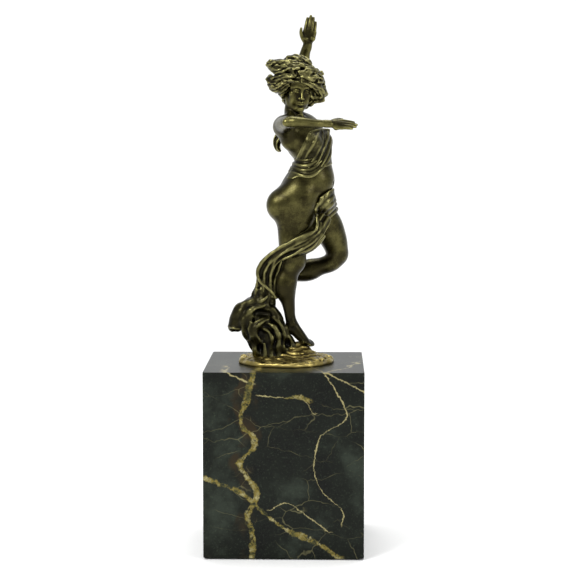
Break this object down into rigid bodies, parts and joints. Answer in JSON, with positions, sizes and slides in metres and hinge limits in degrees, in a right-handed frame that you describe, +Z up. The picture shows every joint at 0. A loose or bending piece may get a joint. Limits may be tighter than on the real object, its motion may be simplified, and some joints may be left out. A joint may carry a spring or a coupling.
{
  "type": "bronze dancer statuette on marble block",
  "caption": "Cast bronze dancing figure in windblown drapery, standing on tiptoe on a low rock casting bolted to a tall polished marble block.",
  "frame": {"origin": "middle of the felt's underside, where the piece stands", "axes": "+Z up; the show side faces -Y; the figure's hips face +X"},
  "size_m": [0.102, 0.102, 0.3447],
  "materials": {
    "felt": "matt wool felt",
    "marble": "polished",
    "steel": "zinc plated",
    "bronze": "brown patina, waxed",
    "bronze_drapery": "brown patina, rubbed on the folds",
    "dowel_brass": "bright rod"
  },
  "bodies": {
    "root": {"felt_pad": "felt", "marble_block": "marble", "fixing_stud": "steel", "washer": "steel", "nut": "steel", "ground_casting": "bronze", "standing_leg": "bronze", "raised_leg": "bronze", "torso": "bronze", "head": "bronze", "hair": "bronze", "forward_arm": "bronze", "raised_arm": "bronze", "chest_wrap": "bronze_drapery", "waist_wrap": "bronze_drapery", "hip_drape": "bronze_drapery", "scarf": "bronze_drapery", "tail_drape": "bronze_drapery", "back_ribbon": "bronze_drapery", "neck_dowel": "dowel_brass", "forward_arm_dowel": "dowel_brass", "raised_arm_dowel": "dowel_brass", "standing_hip_dowel": "dowel_brass", "raised_hip_dowel": "dowel_brass", "foot_dowel": "dowel_brass", "tail_dowel": "dowel_brass"}
  },
  "joints": []
}
